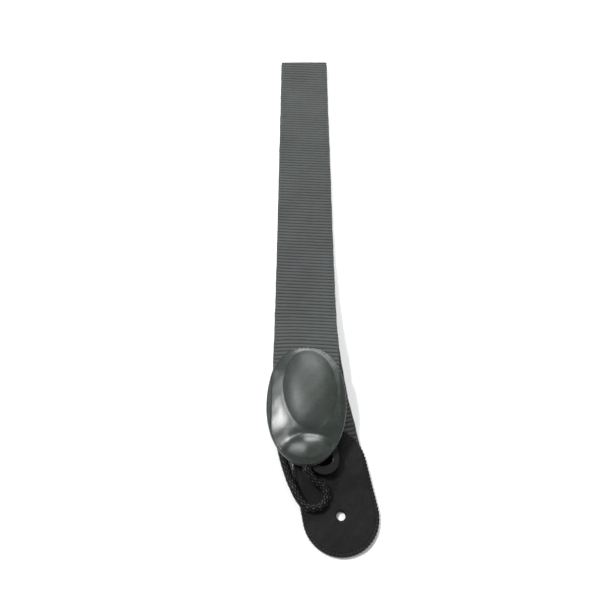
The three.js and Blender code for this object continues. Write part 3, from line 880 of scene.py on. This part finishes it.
# ------------------------------------------------------------------ stitches
def stitches(name, outline, height, pitch=2.9, length=2.1, r=0.27):
    P = np.array(outline + [outline[0]])
    s = np.concatenate([[0], np.cumsum(np.linalg.norm(np.diff(P, axis=0), axis=1))])
    n = int(round(s[-1] / pitch))
    verts, faces = [], []
    for i in range(n):
        a, b = (i + 0.5) * s[-1] / n - length / 2, (i + 0.5) * s[-1] / n + length / 2
        pts = []
        for q in np.linspace(a, b, 7):
            x, y = np.interp(q, s, P[:, 0]), np.interp(q, s, P[:, 1])
            e = (q - a) / (b - a) * 2 - 1
            pts.append((x, y, float(height(x, y)) + 0.1 - 0.42 * e**4))
        pts = np.array(pts)
        t, nn, bb = frames(pts)
        prof = np.array([0.35, 0.85, 1, 1, 1, 0.85, 0.35]) * r
        base = len(verts)
        for j in range(7):
            for a2 in np.linspace(0, 2 * math.pi, 8, endpoint=False):
                verts.append(pts[j] + prof[j] * (math.cos(a2) * nn[j] + math.sin(a2) * bb[j]))
        for j in range(6):
            for k2 in range(8):
                faces.append((base + j * 8 + k2, base + (j + 1) * 8 + k2, base + (j + 1) * 8 + (k2 + 1) % 8, base + j * 8 + (k2 + 1) % 8))
        faces.append(tuple(base + k2 for k2 in range(8)))
        faces.append(tuple(base + 48 + k2 for k2 in reversed(range(8))))
    o = make(name, np.array(verts), faces, THREAD)
    bm = bmesh.new()
    bm.from_mesh(o.data)
    bmesh.ops.recalc_face_normals(bm, faces=bm.faces)
    bm.to_mesh(o.data)
    bm.free()
    return o


def whip(name, outline, height, pitch=1.95, r=0.26):
    """Thread carried over the cut edge, one short arch at each needle hole."""
    P = np.array(outline + [outline[0]])
    s = np.concatenate([[0], np.cumsum(np.linalg.norm(np.diff(P, axis=0), axis=1))])
    n = int(round(s[-1] / pitch))
    mid = P[:-1].mean(0)
    verts, faces = [], []
    for i in range(n):
        q = (i + 0.5) * s[-1] / n
        x, y = np.interp(q, s, P[:, 0]), np.interp(q, s, P[:, 1])
        x2, y2 = np.interp(q + 0.3, s, P[:, 0]), np.interp(q + 0.3, s, P[:, 1])
        tx, ty = x2 - x, y2 - y
        L = math.hypot(tx, ty)
        tx, ty = tx / L, ty / L
        nx, ny = ty, -tx
        if nx * (mid[0] - x) + ny * (mid[1] - y) < 0:
            nx, ny = -nx, -ny
        lean = 0.55 + 0.12 * math.sin(i * 1.7)
        pts = []
        top = float(height(x + nx, y + ny))
        for d, z, l in ((1.75, top - 0.3, 1.0), (1.5, top + 0.02, 0.9), (1.0, top + 0.1, 0.6), (0.45, top + 0.02, 0.25), (0.02, top - 0.38, 0.0),
                        (-0.14, top * 0.5, -0.15), (0.0, 0.5, -0.3), (0.35, 0.34, -0.4)):
            pts.append((x + nx * d + tx * lean * l, y + ny * d + ty * lean * l, z))
        pts = np.array(pts)
        t, nn, bb = frames(pts)
        prof = np.array([0.5, 0.9, 1, 1, 1, 1, 0.9, 0.5]) * r
        base = len(verts)
        for j in range(8):
            for a2 in np.linspace(0, 2 * math.pi, 7, endpoint=False):
                verts.append(pts[j] + prof[j] * (math.cos(a2) * nn[j] + math.sin(a2) * bb[j]))
        for j in range(7):
            for k2 in range(7):
                faces.append((base + j * 7 + k2, base + (j + 1) * 7 + k2, base + (j + 1) * 7 + (k2 + 1) % 7, base + j * 7 + (k2 + 1) % 7))
        faces.append(tuple(base + k2 for k2 in range(7)))
        faces.append(tuple(base + 49 + k2 for k2 in reversed(range(7))))
    o = make(name, np.array(verts), faces, THREAD)
    bm = bmesh.new()
    bm.from_mesh(o.data)
    bmesh.ops.recalc_face_normals(bm, faces=bm.faces)
    bm.to_mesh(o.data)
    bm.free()
    return o


bst = whip("lower_tab_edge_stitches", back_outline(), lambda x, y: back_top(np.float64(x), np.float64(y), np.float64(1.0)))
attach(bst, "back_half")
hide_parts("back_tab_stitching")
fst = stitches("upper_tab_stitches", front_outline(-STITCH_F), lambda x, y: -0.1 + front_top(np.float64(x), np.float64(y), np.float64(STITCH_F)), pitch=2.4, length=1.8, r=0.16)
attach(fst, "front_half")
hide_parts("front_tab_stitching")


# ------------------------------------------------------------------ moulded parts: softened copies of the design's solids
def moulded(node, name, body, material, voxel, rounds):
    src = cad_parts[node]
    me = src.data.copy()
    me.name = name
    o = bpy.data.objects.new(name, me)
    bpy.context.scene.collection.objects.link(o)
    m = o.modifiers.new("r", "REMESH")
    m.mode = "VOXEL"
    m.voxel_size = voxel * MM
    m.use_smooth_shade = True
    sm = o.modifiers.new("s", "SMOOTH")
    sm.factor = 0.5
    sm.iterations = rounds
    dg = bpy.context.evaluated_depsgraph_get()
    new = bpy.data.meshes.new_from_object(o.evaluated_get(dg))
    o.modifiers.clear()
    o.data = new
    new.materials.clear()
    new.materials.append(material)
    new.polygons.foreach_set("use_smooth", [True] * len(new.polygons))
    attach(o, body)
    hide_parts(node)
    return o


moulded("adjuster", "cord_adjuster", "adjuster", PLASTIC, 0.3, 6)
moulded("hook_body", "snap_hook", "hook", PLASTIC, 0.22, 5)
moulded("gate", "snap_gate", "gate", PLASTIC, 0.18, 4)
moulded("swivel_eye", "swivel_ring", "eye", PLASTIC, 0.14, 3)


def paint(node, material):
    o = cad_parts[node]
    o.data.materials.clear()
    o.data.materials.append(material)


spring = bpy.data.objects.new("gate_spring_leaf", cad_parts["gate_spring"].data.copy())
bpy.context.scene.collection.objects.link(spring)
bm = bmesh.new()
bm.from_mesh(spring.data)
bmesh.ops.subdivide_edges(bm, edges=bm.edges, cuts=3, use_grid_fill=True)
bm.to_mesh(spring.data)
bm.free()
spring.data.materials.clear()
spring.data.materials.append(STEEL)
slo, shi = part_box("gate_spring")
SPRING_ENDS = SPRING_HOOK, SPRING_GATE = ((slo[0] + shi[0]) / 2, shi[1], (slo[2] + shi[2]) / 2), ((slo[0] + shi[0]) / 2, slo[1], (slo[2] + shi[2]) / 2)
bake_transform(spring)
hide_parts("gate_spring")

for nd in ("swivel_washer", "gate_pin"):
    paint(nd, STEEL)
paint("cord_sewn_end", CORD)

# ------------------------------------------------------------------ floor and light
me = bpy.data.meshes.new("floor")
me.from_pydata([(-3, -3, -0.0003), (3, -3, -0.0003), (3, 3, -0.0003), (-3, 3, -0.0003)], [], [(0, 1, 2, 3)])
floor = bpy.data.objects.new("floor", me)
bpy.context.scene.collection.objects.link(floor)
fm, ft, fp = nodes_of("floor_paper")
fn = noise(ft, coord(ft), 400.0, 3.0)
ft.links.new(ramp_node(ft, fn, [(0.3, (0.87, 0.87, 0.86)), (0.7, (0.90, 0.90, 0.89))]), fp.inputs["Base Color"])
fp.inputs["Roughness"].default_value = 0.75
me.materials.append(fm)


def area(name, loc, target, size, power, colour=(1, 1, 1)):
    d = bpy.data.lights.new(name, "AREA")
    d.energy = power
    d.size = size
    d.color = colour
    o = bpy.data.objects.new(name, d)
    o.location = loc
    o.rotation_euler = (Vector(target) - Vector(loc)).to_track_quat("-Z", "Y").to_euler()
    bpy.context.scene.collection.objects.link(o)


area("far", (0.12, 0.993, 0.8), (0, -0.007, 0), 0.6, 15)
area("left", (-0.52, 0.073, 0.90), (0, -0.127, 0), 0.16, 11)
area("fill", (0.8, -0.607, 0.9), (0, -0.007, 0), 0.8, 3.2)
w = bpy.data.worlds.new("world")
w.use_nodes = True
w.node_tree.nodes["Background"].inputs[0].default_value = (0.92, 0.95, 1.0, 1)
w.node_tree.nodes["Background"].inputs[1].default_value = 0.4
bpy.context.scene.world = w
bpy.context.scene.view_settings.view_transform = "Standard"
